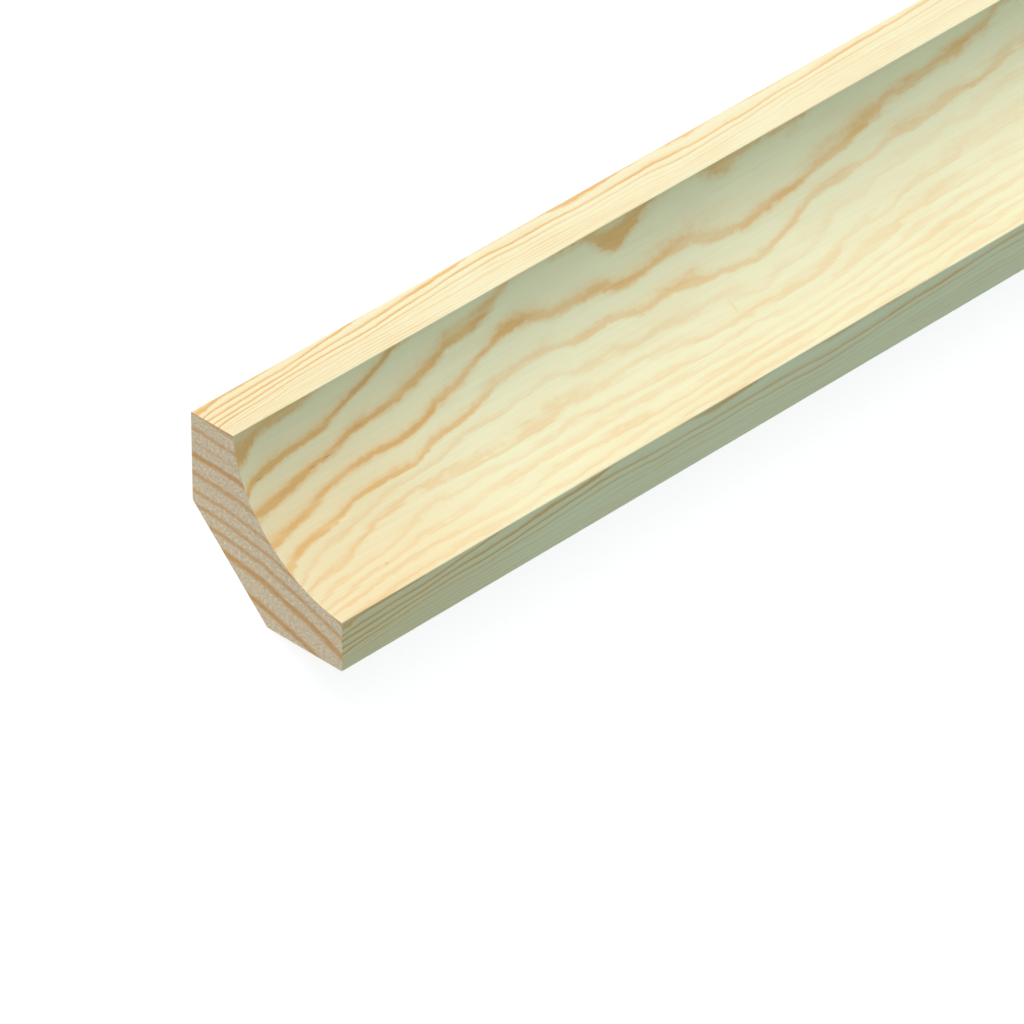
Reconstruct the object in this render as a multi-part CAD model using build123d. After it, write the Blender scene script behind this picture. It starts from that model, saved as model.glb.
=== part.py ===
from build123d import *
import os
from math import sqrt

# Scotia moulding: one length of planed softwood. It starts as a square strip. A hollow is run along one
# corner, leaving a flat lip each side of it, and the corner behind is bevelled off, so that the strip
# seats in an internal angle without touching the angle's root.
#
# Millimetres. X runs along the length, Z points up out of the hollow, and Y points to the side that
# goes against the wall. The origin is the middle of the bevel, on which an unheld length lies.

# Driving dimensions
STOCK_LENGTH = 2400.0  # the length that it is sold in
SECTION = 18.0  # side of the square strip: how far it covers the wall, and the floor
LIP = 5.1  # flat left beside the hollow, on the top and on the front
HOLLOW_DEPTH = 3.3  # deepest point of the hollow, below a straight line across its two lips
BACK_BEVEL = 8.9  # how much of the wall face, and of the floor face, the bevel takes off
ARRIS_RADIUS = 0.1  # the long edges, crisp from the planer and barely eased

NODE = "scotia_moulding"


def square_section():
    """The section as it sits in the angle: x out along the floor, y up the wall, and 0, 0 at the root."""
    wall_top = (0, SECTION)
    wall_foot = (0, BACK_BEVEL)
    floor_heel = (BACK_BEVEL, 0)
    floor_toe = (SECTION, 0)
    front_lip = (SECTION, LIP)
    top_lip = (LIP, SECTION)
    with BuildSketch() as section:
        with BuildLine():
            Polyline(top_lip, wall_top, wall_foot, floor_heel, floor_toe, front_lip)
            SagittaArc(front_lip, top_lip, HOLLOW_DEPTH)
        make_face()
        fillet(section.vertices(), radius=ARRIS_RADIUS)
    return section.sketch


def lying_section():
    """The section turned an eighth of a turn, so that it lies on its bevel with the hollow upwards."""
    bevel_height = BACK_BEVEL / sqrt(2)
    return Pos(0, -bevel_height) * Rot(0, 0, 45) * square_section()


def moulding():
    """The whole length, run off both ways from the middle."""
    across_the_length = Plane(origin=(0, 0, 0), x_dir=(0, -1, 0), z_dir=(-1, 0, 0))
    return extrude(across_the_length * lying_section(), amount=STOCK_LENGTH / 2, both=True)


os.makedirs("parts", exist_ok=True)
strip = moulding()
strip.label = NODE
export_step(strip, f"parts/{NODE}.step")
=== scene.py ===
import bpy
import numpy as np
from mathutils import Matrix, Vector


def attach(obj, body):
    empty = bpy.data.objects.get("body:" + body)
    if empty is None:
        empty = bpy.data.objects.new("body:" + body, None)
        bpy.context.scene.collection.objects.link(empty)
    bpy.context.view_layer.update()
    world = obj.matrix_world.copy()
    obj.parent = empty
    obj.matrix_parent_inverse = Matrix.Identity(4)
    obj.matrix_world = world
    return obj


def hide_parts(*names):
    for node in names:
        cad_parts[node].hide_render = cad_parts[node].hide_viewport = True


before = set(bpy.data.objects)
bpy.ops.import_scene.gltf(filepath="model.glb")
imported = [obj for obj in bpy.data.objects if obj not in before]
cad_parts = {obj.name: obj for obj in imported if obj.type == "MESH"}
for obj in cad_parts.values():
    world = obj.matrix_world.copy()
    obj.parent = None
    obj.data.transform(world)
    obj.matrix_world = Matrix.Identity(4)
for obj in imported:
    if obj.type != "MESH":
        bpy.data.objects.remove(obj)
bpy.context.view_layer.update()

# The strip is one length of pine, planed square. A hollow is run along one corner between two flat lips,
# the corner behind is bevelled off, and both ends are sawn across. It lies on its bevel, hollow upwards.
# Sizes here are in millimetres, with x measured from the near end, and the mesh is filled in metres.
LENGTH = 2400.0
SECTION = 18.0
LIP = 5.1
HOLLOW_DEPTH = 3.3
BACK_BEVEL = 8.9
ARRIS_RADIUS = 0.1
LIP_STEPS = 40  # flat steps round each part of the section, enough of them to carry the figure
HOLLOW_STEPS = 80
ARRIS_STEPS = 3
BACK_STEPS = 2
FINE_LENGTH = 110.0  # stretch at the near end whose figure is drawn finely
FINE_STEP = 1.0
COARSE_STEP = 6.0


def arc(centre, radius, start, end, parts):
    """Points centre + radius (cos a, sin a), with the angle a going evenly from start to end degrees."""
    angle = np.radians(np.linspace(start, end, parts + 1))
    return np.array(centre) + radius * np.stack([np.cos(angle), np.sin(angle)], 1)


def straight(start, end, parts):
    """Points start + t (end - start), with t going evenly from 0 to 1."""
    t = np.linspace(0, 1, parts + 1)[:, None]
    return np.array(start) + t * (np.array(end) - np.array(start))


def section_runs():
    """The section's outline as it sits in an angle: u out along the floor, v up the wall.

    It goes round by way of the top lip, the hollow, the front lip and back underneath, as runs of
    (name, points, degrees that each point faces). The hollow's radius is (half chord squared + depth
    squared) / (2 depth). Each eased arris is an arc that touches the two runs beside it.
    """
    r = ARRIS_RADIUS
    half_chord = (SECTION - LIP) / np.sqrt(2)
    hollow_radius = (half_chord**2 + HOLLOW_DEPTH**2) / (2 * HOLLOW_DEPTH)
    centre = (SECTION + LIP) / 2 + (hollow_radius - HOLLOW_DEPTH) / np.sqrt(2)
    inset = SECTION - r
    lip_end = centre - np.sqrt((hollow_radius + r) ** 2 - (centre - inset) ** 2)
    steep = np.degrees(np.arctan2(centre - inset, centre - lip_end))
    heel = BACK_BEVEL + r * (np.sqrt(2) - 1)
    low = r - r / np.sqrt(2)
    high = heel - r / np.sqrt(2)
    hollow = arc((centre, centre), hollow_radius, 180 + steep, 270 - steep, HOLLOW_STEPS)
    return [
        ("top lip", straight((r, SECTION), (lip_end, SECTION), LIP_STEPS), (90, 90)),
        ("arris", arc((lip_end, inset), r, 90, steep, ARRIS_STEPS), (90, steep)),
        ("hollow", hollow, (steep, 90 - steep)),
        ("arris", arc((inset, lip_end), r, 90 - steep, 0, ARRIS_STEPS), (90 - steep, 0)),
        ("front lip", straight((SECTION, lip_end), (SECTION, r), LIP_STEPS), (0, 0)),
        ("arris", arc((inset, r), r, 0, -90, ARRIS_STEPS), (0, -90)),
        ("back", straight((inset, 0), (heel, 0), BACK_STEPS), (-90, -90)),
        ("back", arc((heel, r), r, -90, -135, BACK_STEPS), (-90, -135)),
        ("back", straight((high, low), (low, high), BACK_STEPS), (-135, -135)),
        ("back", arc((r, heel), r, -135, -180, BACK_STEPS), (-135, -180)),
        ("back", straight((0, heel), (0, inset), BACK_STEPS), (-180, -180)),
        ("arris", arc((r, inset), r, 180, 90, ARRIS_STEPS), (180, 90)),
    ]


# The growth lines that the planer has cut through, counted from the top lip down. Each is a list of
# (x, how far down the hollow it lies, how broad it is there), in millimetres round the hollow's curve. A
# line is sharp on its lower side and fades out upwards, as summer wood does towards spring wood.
FIGURE_WIDTH = 19.8  # the hollow round its curve
GROWTH_LINES = [
    [(0, -12.0, 1.0), (96, -17.2, 1.2)],
    [(0, -6.0, 1.0), (40, -9.0, 1.0), (96, -13.6, 1.3)],
    [(0, 3.2, 3.6), (1, 3.0, 3.4), (1.6, 2.1, 2.6), (2.8, 0.9, 1.6), (8, 0.6, 1.0), (9.5, 0.1, 0.8),
     (14, -1.2, 0.8), (40, -5.2, 1.0), (96, -10.0, 1.3)],
    [(0, 5.9, 0.8), (1, 5.1, 0.8), (3.5, 4.5, 0.9), (7.5, 4.1, 0.9), (10, 3.9, 0.8), (12.5, 3.0, 0.7),
     (15, 2.0, 0.6), (17.5, 1.1, 0.7), (19, 0.0, 0.7), (30, -2.0, 0.9), (96, -6.6, 1.3)],
    [(0, 8.1, 1.1), (2, 7.7, 1.0), (5, 7.0, 0.9), (10, 6.4, 0.9), (12.5, 5.4, 0.9), (15, 5.1, 0.7),
     (17, 5.1, 0.9), (21, 4.5, 1.2), (25, 3.0, 1.6), (28.5, 2.4, 1.4), (31, 1.8, 1.7), (33, 0.1, 1.6),
     (37, -0.8, 2.0), (42, 0.1, 3.0), (44.5, 2.2, 3.4), (46, 2.4, 3.4), (48, 1.7, 2.8), (52, 0.0, 2.0),
     (55, -0.6, 1.6), (58.5, 0.7, 1.8), (60, 1.2, 1.8), (62, 0.2, 1.6), (65, -0.4, 1.4), (68.5, 0.7, 1.4),
     (71, -0.2, 1.4), (80, -1.8, 1.4), (96, -3.2, 1.4)],
    [(0, 10.8, 0.9), (5, 9.8, 0.8), (8, 8.7, 0.6), (14, 8.0, 0.7), (17.5, 8.3, 0.7), (20, 8.0, 0.8),
     (22, 7.2, 0.8), (25, 6.5, 0.9), (29, 5.2, 0.7), (31, 4.6, 1.1), (34, 4.7, 1.2), (37, 5.4, 1.1),
     (42, 5.6, 1.0), (45, 6.1, 1.0), (50, 6.0, 1.1), (54, 5.8, 1.5), (57, 6.6, 1.4), (60, 7.1, 0.9),
     (64, 6.5, 0.9), (67.5, 6.1, 0.8), (70, 5.4, 1.1), (74, 5.0, 1.2), (77, 4.4, 1.2), (80, 3.4, 1.2),
     (84, 3.3, 1.2), (88, 2.7, 1.3), (93, 1.5, 1.3), (96, 0.1, 1.3)],
    [(0, 14.0, 1.5), (1.5, 12.7, 1.1), (3, 12.2, 0.8), (7, 11.7, 0.7), (10, 10.7, 0.7), (17.5, 10.7, 0.6),
     (20, 9.9, 0.6), (24, 9.4, 0.6), (28, 8.5, 0.8), (32, 7.6, 0.7), (35, 7.6, 0.7), (38, 8.4, 0.7),
     (42, 8.3, 0.7), (46, 8.9, 0.7), (53, 8.9, 0.7), (57, 10.0, 0.8), (60, 10.1, 0.8), (64, 9.2, 0.7),
     (68.5, 7.9, 0.7), (75, 7.3, 0.6), (80, 6.7, 0.6), (90, 6.2, 0.7), (93, 5.3, 0.8), (96, 4.7, 0.8)],
    [(0, 14.9, 0.6), (4, 13.2, 0.5), (9, 12.2, 0.5), (14, 11.6, 0.5), (20, 11.0, 0.6), (30, 10.4, 0.7),
     (50, 11.4, 0.8), (59, 12.6, 0.8), (64, 11.7, 0.8), (68, 10.7, 0.8), (75, 9.0, 0.8), (96, 8.1, 1.0)],
    [(0, 16.1, 1.0), (6.5, 14.8, 0.8), (9, 13.5, 1.5), (14, 13.0, 1.4), (20, 13.2, 1.0), (30, 13.5, 1.4),
     (38, 13.0, 1.5), (44, 13.7, 1.5), (50, 13.6, 1.2), (57, 14.5, 1.0), (63, 14.0, 0.8), (67, 13.6, 0.8),
     (71, 12.4, 1.0), (78, 11.5, 1.5), (85, 11.2, 1.5), (92, 10.7, 1.7), (96, 10.3, 1.7)],
    [(0, 17.2, 0.7), (15, 15.0, 0.8), (25, 14.8, 0.8), (37, 14.7, 0.7), (57, 15.4, 0.7), (65, 15.4, 0.7),
     (71, 14.6, 0.8), (78, 13.4, 1.2), (85, 13.2, 1.2), (96, 13.1, 1.0)],
    [(0, 18.2, 1.0), (5, 17.4, 0.8), (13, 16.8, 0.7), (25, 16.2, 0.7), (37, 16.1, 0.8), (50, 16.3, 0.8),
     (57, 16.5, 0.7), (66, 16.2, 0.7), (70, 15.6, 0.7), (80, 14.8, 0.7), (96, 14.4, 0.8)],
    [(0, 19.2, 0.8), (5, 18.4, 0.8), (15.5, 18.0, 1.2), (23, 18.4, 1.0), (28, 17.7, 0.8), (35, 17.5, 0.8),
     (40, 17.8, 0.8), (50, 17.3, 0.8), (60, 17.3, 0.7), (66, 17.1, 0.7), (70, 16.6, 0.7), (96, 15.4, 0.8)],
    [(0, 20.6, 0.8), (10, 19.3, 0.8), (25, 19.5, 0.7), (45, 18.6, 0.7), (61, 18.2, 0.7), (70, 17.7, 0.7),
     (80, 17.1, 0.7), (96, 16.7, 0.7)],
    [(0, 21.8, 0.8), (25, 20.8, 0.8), (45, 19.9, 0.8), (55, 19.6, 0.8), (62, 19.2, 0.7), (70, 18.9, 0.7),
     (78, 18.2, 0.8), (96, 18.0, 0.8)],
    [(0, 23.2, 0.8), (45, 21.2, 0.8), (77, 19.6, 0.8), (96, 19.3, 0.8)],
    [(0, 24.8, 0.8), (96, 20.8, 0.8)],
    [(0, 26.5, 1.0), (96, 22.5, 1.0)],
    [(0, 28.5, 1.2), (96, 24.6, 1.2)],
    [(0, 30.8, 1.4), (96, 27.1, 1.4)],
    [(0, 33.6, 1.5), (96, 29.8, 1.5)],
    [(0, 36.6, 1.7), (96, 32.8, 1.7)],
]
# How dark each of them is at the near end, and from FIGURE_END on.
LINE_DEPTHS = [
    (0.8, 0.8), (0.8, 0.8), (0.9, 0.8), (1.0, 0.7), (1.0, 0.7), (0.9, 0.7), (0.8, 0.45), (0.35, 0.15),
    (0.45, 0.2), (0.3, 0.25), (0.35, 0.2), (0.35, 0.25), (0.35, 0.2), (0.35, 0.25), (0.35, 0.3), (0.4, 0.4),
    (0.45, 0.55), (0.55, 0.65), (0.65, 0.7), (0.7, 0.8), (0.8, 0.8),
]
LIP_DEPTH = 1.05  # times a line's depth in the hollow, where the lips cut it
FIGURE_END = 96.0  # the last x that the lists give
WANDER = [(4.6, 980, 0.0), (2.7, 437, 0.9), (0.8, 151, 2.3)]  # size, length and start in radians of each wave
MOST_SUMMER = 0.5  # of the distance between two lines
SPRING_SHARE = 0.75  # of a year's growth number, from a line's sharp side to the next line's faint side


def drift(x):
    """How far the lines wander across, past the lists: a sum of sine waves that starts from nothing."""
    past = 2 * np.pi * np.maximum(x - FIGURE_END, 0)
    return sum(size * (np.sin(past / long + start) - np.sin(start)) for size, long, start in WANDER)


def climb(down, edges, steps):
    """Sum, over the gaps between edges, of the gap's step times how far across it down is, from 0 to 1."""
    low, high = edges[:, None, :-1], edges[:, None, 1:]
    return (np.clip((down[None, :, None] - low) / (high - low), 0, 1) * steps).sum(-1)


def figure(x, down):
    """Growth number and depth of colour, for each x and each distance down the hollow.

    The growth number rises by 1 from the sharp side of one line to the next, so its fraction says how
    far through the year the wood grew: spring wood takes SPRING_SHARE of it and the line the rest. A line
    is no broader than MOST_SUMMER of the distance up to the line above. Depth changes from one line's to
    the next line's across the spring wood between them. Both change evenly from one edge to the next.
    """
    lists = [np.array(line, float).T for line in GROWTH_LINES]
    sharp = np.stack([np.interp(x, along, place) for along, place, breadth in lists], 1) + drift(x)[:, None]
    breadth = np.stack([np.interp(x, along, breadth) for along, place, breadth in lists], 1)
    breadth[:, 1:] = np.minimum(breadth[:, 1:], MOST_SUMMER * np.diff(sharp, axis=1))
    edges = np.stack([sharp - breadth, sharp], 2).reshape(len(x), -1)
    steps = np.tile([1 - SPRING_SHARE, SPRING_SHARE], len(GROWTH_LINES))[:-1]
    near, far = np.array(LINE_DEPTHS).T
    depths = near + (far - near) * np.clip(x / FIGURE_END, 0, 1)[:, None]
    changes = np.zeros((len(x), len(steps)))
    changes[:, 1::2] = np.diff(depths, axis=1)
    return SPRING_SHARE + climb(down, edges, steps), depths[:, :1] + climb(down, edges, changes[:, None, :])


def stations():
    """Distances from the near end at which the section is repeated: close together, then wider apart."""
    fine = np.arange(0, FINE_LENGTH, FINE_STEP)
    coarse = np.linspace(FINE_LENGTH, LENGTH, round((LENGTH - FINE_LENGTH) / COARSE_STEP) + 1)
    return np.concatenate([fine, coarse])


def lying(u, v):
    """The section turned on to its bevel: y = (v - u) / root 2, and z = (u + v - bevel) / root 2."""
    return (v - u) / np.sqrt(2), (u + v - BACK_BEVEL) / np.sqrt(2)


x = stations()
runs = section_runs()
points = np.concatenate([places[:-1] for kind, places, turn in runs])
around = len(points)

# The section is carried along x as a grid of (station, point), which a flat face closes at each end.
y, z = lying(*points.T)
grid = np.stack(np.broadcast_arrays(x[:, None] - LENGTH / 2, y, z), -1)
first = np.arange(len(x) - 1)[:, None] * around + np.arange(around)
second = np.arange(len(x) - 1)[:, None] * around + (np.arange(around) + 1) % around
sides = np.stack([first, second, second + around, first + around], -1).reshape(-1, 4)
near_end = np.arange(around)[::-1]
far_end = np.arange(around) + (len(x) - 1) * around
mesh = bpy.data.meshes.new("planed_pine_strip")
mesh.from_pydata(grid.reshape(-1, 3) / 1000, [], sides.tolist() + [near_end.tolist(), far_end.tolist()])


def on_sides(start, end):
    """Values for the four corners of each side face, from grids of values at its two long edges."""
    corners = [start[:-1], end[:-1], end[1:], start[1:]]
    return np.stack(corners, 2).reshape(-1, *start.shape[2:])


# Each point faces the way that its run says, so the hollow shades as a curve and the flats stay flat.
turns = np.radians(np.concatenate([np.linspace(*turn, len(places))[:-1] for kind, places, turn in runs]))
facing_y = (np.sin(turns) - np.cos(turns)) / np.sqrt(2)
facing_z = (np.sin(turns) + np.cos(turns)) / np.sqrt(2)
facing = np.stack([np.zeros(around), facing_y, facing_z], 1)
facing = np.broadcast_to(facing, (len(x), around, 3))
end_facing = np.repeat([[-1.0, 0.0, 0.0], [1.0, 0.0, 0.0]], around, axis=0)
mesh.normals_split_custom_set(np.concatenate([on_sides(facing, np.roll(facing, -1, 1)), end_facing]))

# Two maps carry the figure. "grain" is (x, distance round the section from the hollow's upper edge), in
# millimetres, for the fibres. "growth" is (growth number, depth of colour), for the growth lines: the
# hollow shows them at their full width, and each lip shows them squeezed to its own.
kinds = np.concatenate([[kind] * (len(places) - 1) for kind, places, turn in runs])
steps_round = np.linalg.norm(np.roll(points, -1, 0) - points, axis=1)
round_ends = np.cumsum(steps_round)
round_starts = round_ends - steps_round
hollow_top = round_starts[kinds == "hollow"][0]
grain = [np.stack(np.broadcast_arrays(x[:, None], at - hollow_top), -1) for at in (round_starts, round_ends)]

starts, ends = [], []
for kind, places, turn in runs:
    first_down = FIGURE_WIDTH if kind in ("arris", "back") else 0
    down = np.linspace(first_down, FIGURE_WIDTH, len(places))
    starts.append(down[:-1])
    ends.append(down[1:])
growth = [np.stack(figure(x, np.concatenate(down)), -1) for down in (starts, ends)]
lip_depth = np.where(np.char.endswith(kinds, "lip"), LIP_DEPTH, 1)
for values in growth:
    values[..., 1] *= lip_depth

for name, (start, end) in {"grain": grain, "growth": growth}.items():
    layer = mesh.uv_layers.new(name=name)
    corners = np.concatenate([on_sides(start, end), np.zeros((2 * around, 2))])
    layer.uv.foreach_set("vector", corners.astype(np.float32).ravel())

# Three finishes: 0 is the hollow and lips with their eased edges, 1 is the bevel and the two faces that go
# against wall and floor, and 2 is the sawn ends.
finish = np.concatenate([np.tile(kinds == "back", len(x) - 1), [2, 2]])
mesh.polygons.foreach_set("material_index", finish.astype(np.int32))
strip = bpy.data.objects.new("planed_pine_strip", mesh)
bpy.context.collection.objects.link(strip)

# Planed pine is cream in its spring wood, warmer in patches, and orange in its summer wood. The last and
# densest of the summer wood is brown.
SPRING_WOOD = (0.955, 0.915, 0.60, 1)
SPRING_WOOD_WARM = (0.93, 0.77, 0.45, 1)
SUMMER_WOOD = (0.89, 0.56, 0.215, 1)
LATE_WOOD = (0.60, 0.36, 0.14, 1)
# Patterns in the wood: millimetres along the grain and across it, steps of detail, and millimetres deep.
FIBRES = (18, 0.17, 2, 0.17)
WAVER = (6, 2.0, 3)
FRAY = (0.7, 1.0, 2)
PATCHES = (14, 2.4, 3)
WAVER_SWING = 1.3  # how many years' growth the waver moves the faint lines by, from one side to the other
FRAY_SWING = 0.16
BUMP_DEPTH = 0.00002  # metres
WARM_LENGTH = 25  # millimetres from the near end over which the wood is warmer and its lines stronger
WARM_BREADTH = 20  # millimetres down the hollow over which that warmth comes and goes


def add_node(tree, kind, inputs=None, **settings):
    """Adds a node. An input is a value, or an output of another node to link to it."""
    made = tree.nodes.new(kind)
    for name, value in settings.items():
        setattr(made, name, value)
    for name, value in (inputs or {}).items():
        if isinstance(value, bpy.types.NodeSocket):
            tree.links.new(value, made.inputs[name])
        else:
            made.inputs[name].default_value = value
    return made


def maths(tree, operation, *values):
    """The result of a Math node's operation on numbers or on other nodes' outputs."""
    return add_node(tree, "ShaderNodeMath", dict(enumerate(values)), operation=operation).outputs[0]


def blend(tree, amount, first, second, how="MIX"):
    """A mix of two colours: the first where amount is 0, and the second, or their product, where it is 1."""
    mix = add_node(tree, "ShaderNodeMix", {0: amount, 6: first, 7: second}, data_type="RGBA", blend_type=how)
    return mix.outputs[2]


def noise(tree, vector, long, wide, detail, deep=1.0):
    """Noise from 0 to 1, read at the place divided by long, wide and deep, which are in millimetres."""
    scaled = add_node(tree, "ShaderNodeMapping", {"Vector": vector, "Scale": (1 / long, 1 / wide, 1 / deep)})
    inputs = {"Vector": scaled.outputs[0], "Scale": 1.0, "Detail": detail, "Roughness": 0.55}
    return add_node(tree, "ShaderNodeTexNoise", inputs).outputs[0]


def ramp(tree, value, stops, how="LINEAR"):
    """The level for a value from 0 to 1, read off (value, level) stops."""
    made = add_node(tree, "ShaderNodeValToRGB", {0: value})
    made.color_ramp.interpolation = how
    elements = made.color_ramp.elements
    while len(elements) < len(stops):
        elements.new(1)
    for element, (place, level) in zip(elements, stops):
        element.position = place
        element.color = (level, level, level, 1)
    return made.outputs[0]


def summer_wood(tree, growth_number, share, fade):
    """How far a growth number is into summer wood, from 0 to 1.

    Its fraction is the time of year. The colour starts slowly, fade before the last share of the year, is
    full from not quite half way through that share, and is gone early in the next year.
    """
    year = maths(tree, "FRACT", growth_number)
    begin = 1 - share
    stops = [(0, 0.75), (0.04, 0.45), (0.1, 0.18), (0.18, 0), (begin - fade, 0), (begin - 0.3 * fade, 0.16)]
    stops += [(begin, 0.45), (begin + 0.45 * share, 1), (0.97, 1), (1, 0.8)]
    return ramp(tree, year, stops)


def new_finish(name):
    """A material, its node tree and its Principled shader."""
    material = bpy.data.materials.new(name)
    material.use_nodes = True
    return material, material.node_tree, material.node_tree.nodes["Principled BSDF"]


def planed(tree, shader, at, summer, warmth):
    """Colours a planed face by how much of it is summer wood, with fine fibres along the grain.

    Half of summer's amount, which strong lines and dark strokes take past 1, says how much late wood shows.
    The bump's height is summer's amount and half the fibres, because harder wood stands up from the planer.
    """
    fibres = noise(tree, at, *FIBRES)
    spring = blend(tree, warmth, SPRING_WOOD, SPRING_WOOD_WARM)
    wood = blend(tree, summer, spring, SUMMER_WOOD)
    late = ramp(tree, maths(tree, "DIVIDE", summer, 2), [(0.39, 0), (0.71, 0.3), (1, 0.9)])
    wood = blend(tree, late, wood, LATE_WOOD)
    streaks = ramp(tree, fibres, [(0.2, 0.95), (0.5, 1.0), (0.8, 1.03)])
    tree.links.new(blend(tree, 1.0, wood, streaks, "MULTIPLY"), shader.inputs["Base Color"])
    height = maths(tree, "MULTIPLY_ADD", fibres, 0.5, summer)
    bump = add_node(tree, "ShaderNodeBump", {"Height": height, "Strength": 0.2, "Distance": BUMP_DEPTH})
    tree.links.new(bump.outputs[0], shader.inputs["Normal"])
    tree.links.new(maths(tree, "MULTIPLY_ADD", fibres, 0.15, 0.5), shader.inputs["Roughness"])
    shader.inputs["Specular IOR Level"].default_value = 0.3


# The hollow and lips are finished with the growth lines and small marks: a stroke across the grain with a
# stain beside it, a speck of resin, and dark strokes in the lines near the end. Each is (x, distance down
# the hollow), half its size each way, in millimetres, and how dark it is.
SMALL_MARKS = [
    ((54.8, 12.3), (0.2, 1.6), 0.3), ((55.5, 11.6), (0.7, 0.8), 0.2), ((8.2, 16.8), (0.3, 0.25), 0.9),
    ((1.7, 4.8), (0.9, 0.16), 1.9), ((7.4, 6.25), (1.0, 0.16), 2.0), ((9.2, 6.05), (1.0, 0.16), 2.0),
    ((13.4, 5.05), (1.4, 0.16), 1.8),
]


def small_mark(tree, at, middle, half_size, dark):
    """A soft oval spot: its depth at its middle, and nothing at half_size from it."""
    (x, down), (long, wide) = middle, half_size
    inputs = {"Vector": at, "Location": (-x / long, -down / wide, 0), "Scale": (1 / long, 1 / wide, 1)}
    place = add_node(tree, "ShaderNodeMapping", inputs).outputs[0]
    away = add_node(tree, "ShaderNodeVectorMath", {0: place}, operation="LENGTH").outputs["Value"]
    return ramp(tree, away, [(0.2, dark), (1, 0)])


figured, tree, shader = new_finish("figured_pine")
grain_at = add_node(tree, "ShaderNodeUVMap", uv_map="grain").outputs[0]
growth_at = add_node(tree, "ShaderNodeUVMap", uv_map="growth").outputs[0]
growth_parts = add_node(tree, "ShaderNodeSeparateXYZ", {0: growth_at}).outputs
grain_parts = add_node(tree, "ShaderNodeSeparateXYZ", {0: grain_at}).outputs

# The lines waver, the faint ones most, and their edges are frayed.
faint = ramp(tree, growth_parts[1], [(0.4, 1.0), (0.8, 0.35)])
swing = maths(tree, "MULTIPLY_ADD", noise(tree, grain_at, *WAVER), WAVER_SWING, -WAVER_SWING / 2)
waver = maths(tree, "MULTIPLY", swing, faint)
fray = maths(tree, "MULTIPLY_ADD", noise(tree, grain_at, *FRAY), FRAY_SWING, -FRAY_SWING / 2)
number = maths(tree, "ADD", growth_parts[0], maths(tree, "ADD", waver, fray))

# They are stronger in patches and towards the near end, where the spring wood is warmer as well.
patches = noise(tree, grain_at, *PATCHES)
near = ramp(tree, maths(tree, "DIVIDE", grain_parts[0], WARM_LENGTH), [(0, 0.8), (0.45, 0.65), (1, 0)])
strength = ramp(tree, patches, [(0.3, 0.5), (0.5, 1), (0.7, 1.4)])
strength = maths(tree, "MULTIPLY_ADD", near, 0.2, strength)
depth = maths(tree, "MULTIPLY", growth_parts[1], strength)
summer = maths(tree, "MULTIPLY", summer_wood(tree, number, share=1 - SPRING_SHARE, fade=0.35), depth)
for middle, half_size, dark in SMALL_MARKS:
    summer = maths(tree, "MAXIMUM", summer, small_mark(tree, grain_at, middle, half_size, dark))
down_hollow = maths(tree, "DIVIDE", grain_parts[1], WARM_BREADTH)
warm_end = maths(tree, "MULTIPLY", near, ramp(tree, down_hollow, [(0.1, 0.4), (0.45, 1), (0.9, 0.8)]))
warmth = maths(tree, "MAXIMUM", warm_end, ramp(tree, patches, [(0.5, 0), (0.8, 0.5)]))
planed(tree, shader, grain_at, summer, warmth)

# The bevel and the faces that go against wall and floor are planed too. They and the sawn ends cut the
# growth rings about the tree's heart, which stood below the strip as it is fixed, so the rings meet at
# every edge. Each is its radius in millimetres at the near end, and how dark it is.
HEART = (0.0, -38.0)  # out along the floor and up the wall, from the angle's root
RINGS = [
    (35.0, 0.8), (37.0, 0.7), (39.0, 0.8), (41.0, 1.0), (43.6, 0.95), (45.2, 0.8), (46.7, 0.75), (48.1, 0.7),
    (50.0, 0.75), (51.95, 1.0), (53.1, 0.35), (54.5, 0.7), (56.2, 0.8), (58.1, 0.8), (60.0, 0.8),
]
RING_WAVES = [(3.0, 1400), (1.1, 390)]  # size and length of the waves in which they wander, in millimetres
RING_WAVER = (60, 3.2, 3, 3.2)
RING_SWING = 0.6  # millimetres that the waver moves them by, from one side to the other
DEPTH_LEAD = 0.03  # of the way from the first ring to the last: how far inside a ring its depth starts
FIXING_PATCHES = (20, 3, 3, 3)


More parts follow.
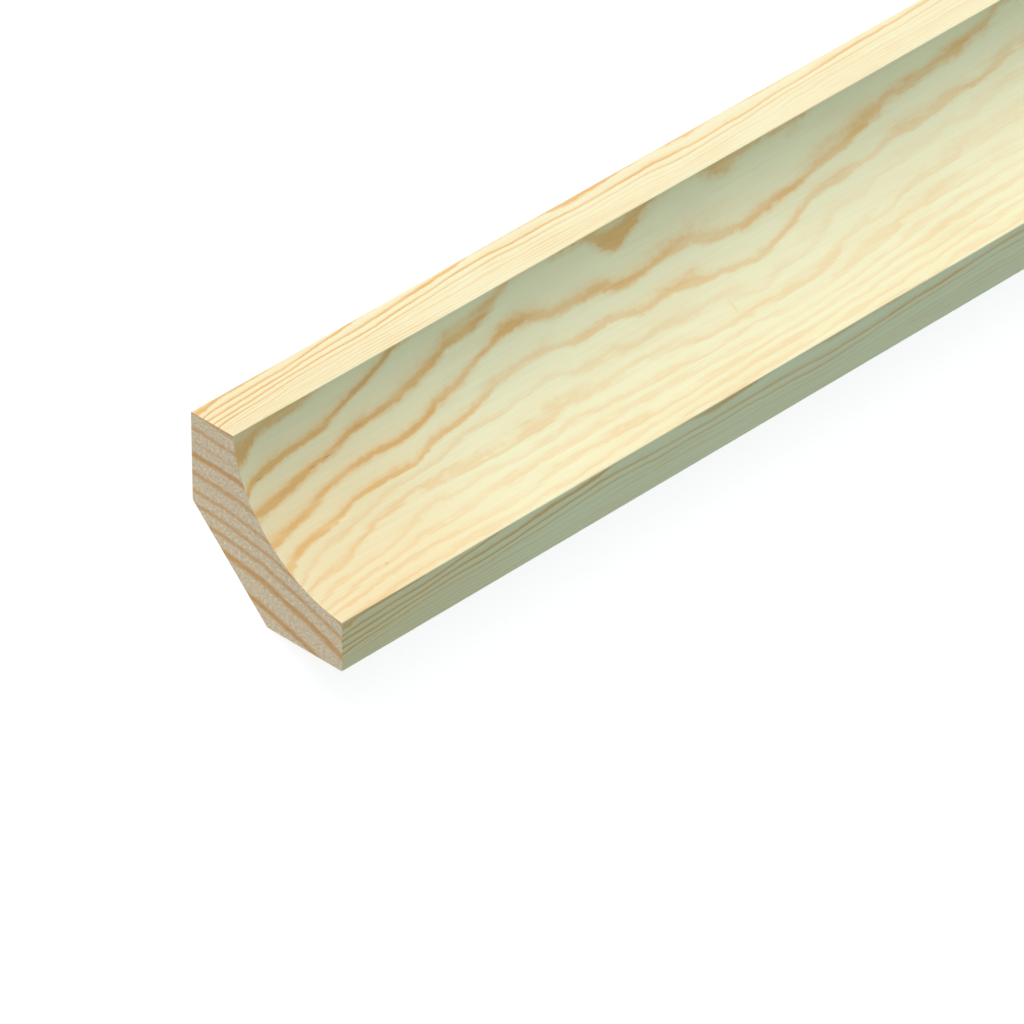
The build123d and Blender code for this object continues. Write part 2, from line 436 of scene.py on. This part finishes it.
def rings(tree, share, fade):
    """Place from the heart in millimetres, and how much of it is summer wood.

    Object coordinates are turned back into the angle and moved to the heart. The radius is the root of
    across squared + up squared, with long sine waves along x and a waver added. RINGS turns it into a
    growth number that rises by 1 from ring to ring, and gives the depth of colour.
    """
    inputs = {
        "Vector": add_node(tree, "ShaderNodeTexCoord").outputs["Object"],
        "Location": (LENGTH / 2, HEART[0] - BACK_BEVEL / 2, BACK_BEVEL / 2 - HEART[1]),
        "Rotation": (np.pi / 4, 0, 0),
        "Scale": (1000, 1000, 1000),
    }
    place = add_node(tree, "ShaderNodeMapping", inputs).outputs[0]
    x = add_node(tree, "ShaderNodeSeparateXYZ", {0: place}).outputs[0]
    flat = add_node(tree, "ShaderNodeVectorMath", {0: place, 1: (0, 1, 1)}, operation="MULTIPLY").outputs[0]
    radius = add_node(tree, "ShaderNodeVectorMath", {0: flat}, operation="LENGTH").outputs["Value"]
    for size, length in RING_WAVES:
        wave = maths(tree, "SINE", maths(tree, "MULTIPLY", x, 2 * np.pi / length))
        radius = maths(tree, "MULTIPLY_ADD", wave, size, radius)
    waver = maths(tree, "MULTIPLY_ADD", noise(tree, place, *RING_WAVER), RING_SWING, -RING_SWING / 2)
    radius = maths(tree, "ADD", radius, waver)
    low, high = RINGS[0][0], RINGS[-1][0]
    share_out = maths(tree, "DIVIDE", maths(tree, "SUBTRACT", radius, low), high - low)
    places = [(size - low) / (high - low) for size, dark in RINGS]
    count = ramp(tree, share_out, [(p, k / (len(RINGS) - 1)) for k, p in enumerate(places)])
    darks = [(max(p - DEPTH_LEAD, 0), dark) for p, (size, dark) in zip(places, RINGS)]
    dark = ramp(tree, share_out, darks, "CONSTANT")
    number = maths(tree, "MULTIPLY", count, len(RINGS) - 1)
    return place, maths(tree, "MULTIPLY", summer_wood(tree, number, share, fade), dark)


fixing, tree, shader = new_finish("fixing_face_pine")
place, summer = rings(tree, share=0.3, fade=0.35)
warmth = ramp(tree, noise(tree, place, *FIXING_PATCHES), [(0.5, 0), (0.8, 0.5)])
planed(tree, shader, place, summer, warmth)

# The ends are sawn square across the grain and left rough. They show the rings thin and brown, broken here
# and there, between wood that is speckled by its open pores and the saw's torn fibres.
END_GRAIN = (0.92, 0.76, 0.52, 1)
END_PORES = (0.60, 0.50, 0.355, 1)
END_RING = (0.66, 0.36, 0.125, 1)
END_SPECKLE = (0.3, 0.34, 4, 0.22)
END_BREAKS = (1, 0.8, 3, 0.4)
END_BUMP_DEPTH = 0.00005  # metres
sawn, tree, shader = new_finish("sawn_end")
place, summer = rings(tree, share=0.26, fade=0.08)
speckle = noise(tree, place, *END_SPECKLE)
end_wood = blend(tree, ramp(tree, speckle, [(0.3, 1), (0.7, 0)]), END_GRAIN, END_PORES)
broken = ramp(tree, noise(tree, place, *END_BREAKS), [(0.35, 0.7), (0.6, 1)])
end_wood = blend(tree, maths(tree, "MULTIPLY", summer, broken), end_wood, END_RING)
tree.links.new(end_wood, shader.inputs["Base Color"])
bump = add_node(tree, "ShaderNodeBump", {"Height": speckle, "Strength": 0.4, "Distance": END_BUMP_DEPTH})
tree.links.new(bump.outputs[0], shader.inputs["Normal"])
shader.inputs["Roughness"].default_value = 0.85
shader.inputs["Specular IOR Level"].default_value = 0.2

for material in (figured, fixing, sawn):
    mesh.materials.append(material)
mesh.update()
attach(strip, "root")
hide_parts("scotia_moulding")

# The floor that it lies on is plain, pale and matt. Part of what is seen of it is a white glow, which makes
# it white round the strip, and the rest is its own paint, which keeps the strip's shadow.
FLOOR_HALF = 40  # metres
FLOOR_PAINT = (0.8, 0.8, 0.8, 1)
FLOOR_GLOW = 1.18
GLOW_SHARE = 0.75
WHITE = (1, 1, 1, 1)


def seen_directly(tree):
    """1 for what the camera sees, straight or in gloss or glass, and 0 for light that falls on things."""
    rays = add_node(tree, "ShaderNodeLightPath").outputs
    in_gloss_or_glass = maths(tree, "MAXIMUM", rays["Is Glossy Ray"], rays["Is Transmission Ray"])
    return maths(tree, "MAXIMUM", rays["Is Camera Ray"], in_gloss_or_glass)


floor_mesh = bpy.data.meshes.new("floor")
corners = [(-FLOOR_HALF, -FLOOR_HALF, 0), (FLOOR_HALF, -FLOOR_HALF, 0)]
corners += [(FLOOR_HALF, FLOOR_HALF, 0), (-FLOOR_HALF, FLOOR_HALF, 0)]
floor_mesh.from_pydata(corners, [], [(0, 1, 2, 3)])
floor = bpy.data.objects.new("floor", floor_mesh)
bpy.context.collection.objects.link(floor)
paint = bpy.data.materials.new("floor_paint")
paint.use_nodes = True
tree = paint.node_tree
tree.nodes.clear()
matt = add_node(tree, "ShaderNodeBsdfDiffuse", {"Color": FLOOR_PAINT}).outputs[0]
glow = add_node(tree, "ShaderNodeEmission", {"Color": WHITE, "Strength": FLOOR_GLOW}).outputs[0]
glow_amount = maths(tree, "MULTIPLY", seen_directly(tree), GLOW_SHARE)
mix = add_node(tree, "ShaderNodeMixShader", {0: glow_amount, 1: matt, 2: glow}).outputs[0]
add_node(tree, "ShaderNodeOutputMaterial", {"Surface": mix})
floor_mesh.materials.append(paint)

# Three soft studio lamps stand round the strip as it would be fixed in an angle: above it, low in front,
# and over the wall behind. All are a little towards the near end. The surroundings give very little more
# light, and are white to the camera.
LAMP_LEAN = 18  # degrees towards the near end
SURROUND_LIGHT = 0.02


def section_direction(degrees, towards_near_end):
    """The way to a lamp that stands that far round the section from straight out along the floor.

    Across the strip it is the unit vector at that angle, turned on to the bevel as the strip is. It then
    leans towards the near end.
    """
    turn, lean = np.radians(degrees), np.radians(towards_near_end)
    across = ((np.sin(turn) - np.cos(turn)) / np.sqrt(2), (np.sin(turn) + np.cos(turn)) / np.sqrt(2))
    return Vector((-np.sin(lean), np.cos(lean) * across[0], np.cos(lean) * across[1]))


def add_lamp(name, degrees, level, soft):
    """A sun, soft degrees across, that lights a long face turned to it by level in red, green and blue.

    Its energy is pi times the brightest of them, over the cosine of its lean: pi is what lights a white
    face that is square to it at a level of 1.
    """
    data = bpy.data.lights.new(name, "SUN")
    brightest = max(level)
    data.color = [part / brightest for part in level]
    data.energy = np.pi * brightest / np.cos(np.radians(LAMP_LEAN))
    data.angle = np.radians(soft)
    lamp = bpy.data.objects.new(name, data)
    lamp.rotation_mode = "QUATERNION"
    lamp.rotation_quaternion = section_direction(degrees, LAMP_LEAN).to_track_quat("Z", "Y")
    bpy.context.collection.objects.link(lamp)


add_lamp("lamp_above", degrees=75, level=(0.75, 0.59, 0.71), soft=60)
add_lamp("lamp_front", degrees=30, level=(0.03, 0.18, 0.16), soft=30)
add_lamp("lamp_behind", degrees=105, level=(0.17, 0.22, 0.13), soft=20)

world = bpy.data.worlds.new("studio")
bpy.context.scene.world = world
world.use_nodes = True
tree = world.node_tree
tree.nodes.clear()
surround = add_node(tree, "ShaderNodeBackground", {"Color": WHITE, "Strength": SURROUND_LIGHT}).outputs[0]
white = add_node(tree, "ShaderNodeBackground", {"Color": WHITE, "Strength": 1.0}).outputs[0]
mix = add_node(tree, "ShaderNodeMixShader", {0: seen_directly(tree), 1: surround, 2: white}).outputs[0]
add_node(tree, "ShaderNodeOutputWorld", {"Surface": mix})
bpy.context.scene.view_settings.view_transform = "Standard"

# The camera stands where the photograph's stood against the strip, with a long lens, and is turned as the
# strip is on to its bevel. It looks down along the strip at the near end. Places are in metres.
CAMERA_AT = Vector((-1.74034, -0.00461, 0.79995))
CAMERA_LOOKS = Vector((0.579267, -0.003810, -0.815129)).normalized()
CAMERA_UP = Vector((0.411894, 0.864299, 0.288670))
CAMERA_LENS = 398.85  # millimetres
right = CAMERA_LOOKS.cross(CAMERA_UP).normalized()
up = right.cross(CAMERA_LOOKS)
camera_data = bpy.data.cameras.new("camera")
camera_data.lens = CAMERA_LENS
camera = bpy.data.objects.new("camera", camera_data)
facing_along = Matrix((right, up, -CAMERA_LOOKS)).transposed()
camera.matrix_world = Matrix.Translation(CAMERA_AT) @ facing_along.to_4x4()
bpy.context.collection.objects.link(camera)
bpy.context.scene.camera = camera
